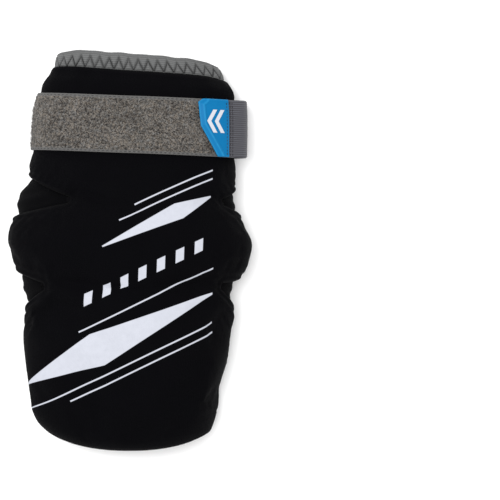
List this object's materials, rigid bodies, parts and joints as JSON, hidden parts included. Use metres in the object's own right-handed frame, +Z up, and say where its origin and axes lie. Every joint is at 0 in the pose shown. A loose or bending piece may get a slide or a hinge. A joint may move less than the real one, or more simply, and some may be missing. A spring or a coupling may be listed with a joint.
{
  "type": "lacrosse arm pad",
  "caption": "Padded lacrosse arm pad: an open stretch sleeve with a foam front over upper arm, elbow and forearm, elastic-bound rims and a hook-and-loop strap with a pull tab.",
  "frame": {"origin": "on the surface that the pad lies on, under the middle of the pad", "axes": "+Y along the arm from the wrist end to the upper-arm end, +X to the right as the padded front is seen, +Z up, out of the padded front"},
  "size_m": [0.1687, 0.28, 0.0593],
  "materials": {
    "stretch_cloth": "black stretch knit, matt",
    "panel_cloth": "smooth black knit over foam, faint sheen",
    "binding_tape": "grey elastic tape with dark zigzag stitch",
    "loop_pile": "taupe-grey fuzzy loop pile with smooth selvedges",
    "strap_elastic": "grey ribbed elastic, satin",
    "hook_plastic": "dark hook tape",
    "tab_rubber": "moulded blue rubber, satin"
  },
  "bodies": {
    "root": {"sleeve": "stretch_cloth", "padded_front": "panel_cloth", "upper_binding": "binding_tape", "lower_binding": "binding_tape", "loop_band": "loop_pile", "elastic_strap": "strap_elastic", "hook_patch": "hook_plastic", "pull_tab": "tab_rubber"}
  },
  "joints": []
}
